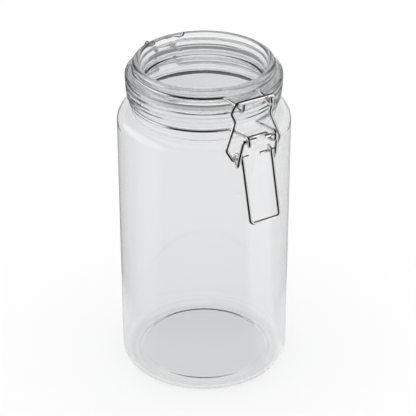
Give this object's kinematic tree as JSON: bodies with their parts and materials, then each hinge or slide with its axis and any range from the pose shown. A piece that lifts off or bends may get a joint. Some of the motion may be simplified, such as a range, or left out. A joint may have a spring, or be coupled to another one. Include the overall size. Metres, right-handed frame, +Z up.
{
  "type": "lidded glass canister",
  "caption": "Tall clear glass storage jar with a dished glass lid, a sealing ring, a rear wire hinge and a front over-centre wire clamp.",
  "frame": {"origin": "on the jar's axis, in the plane of its standing ring", "axes": "+Z up along the jar's axis; the clamp is on the -Y side and the hinge on the +Y side"},
  "size_m": [0.111, 0.1353, 0.2178],
  "materials": {
    "jar_glass": "clear, fire polished",
    "lid_glass": "clear, fire polished",
    "clear_silicone": "translucent, satin",
    "wire_steel": "bright polished"
  },
  "bodies": {
    "jar": {"glass_jar": "jar_glass", "neck_bail_wire": "wire_steel"},
    "lid": {"glass_lid": "lid_glass", "sealing_gasket": "clear_silicone", "lid_bail_wire": "wire_steel"},
    "lever": {"latch_lever": "wire_steel"},
    "link": {"latch_link": "wire_steel"}
  },
  "joints": [
    {"name": "lid_hinge", "type": "hinge", "parent": "jar", "child": "lid", "pos_m": [0, 0.0575, 0.2035], "axis": [-1, 0, 0], "range_deg": [0, 120]},
    {"name": "lever_pivot", "type": "hinge", "parent": "jar", "child": "lever", "pos_m": [0, -0.066, 0.192], "axis": [-1, 0, 0], "range_deg": [0, 110]},
    {"name": "link_pivot", "type": "hinge", "parent": "lever", "child": "link", "pos_m": [0, -0.0592, 0.1772], "axis": [-1, 0, 0], "range_deg": [-66, 0]}
  ],
  "couplings": [
    {"joint": "link_pivot", "follows": "lever_pivot", "ratio": -0.6}
  ]
}
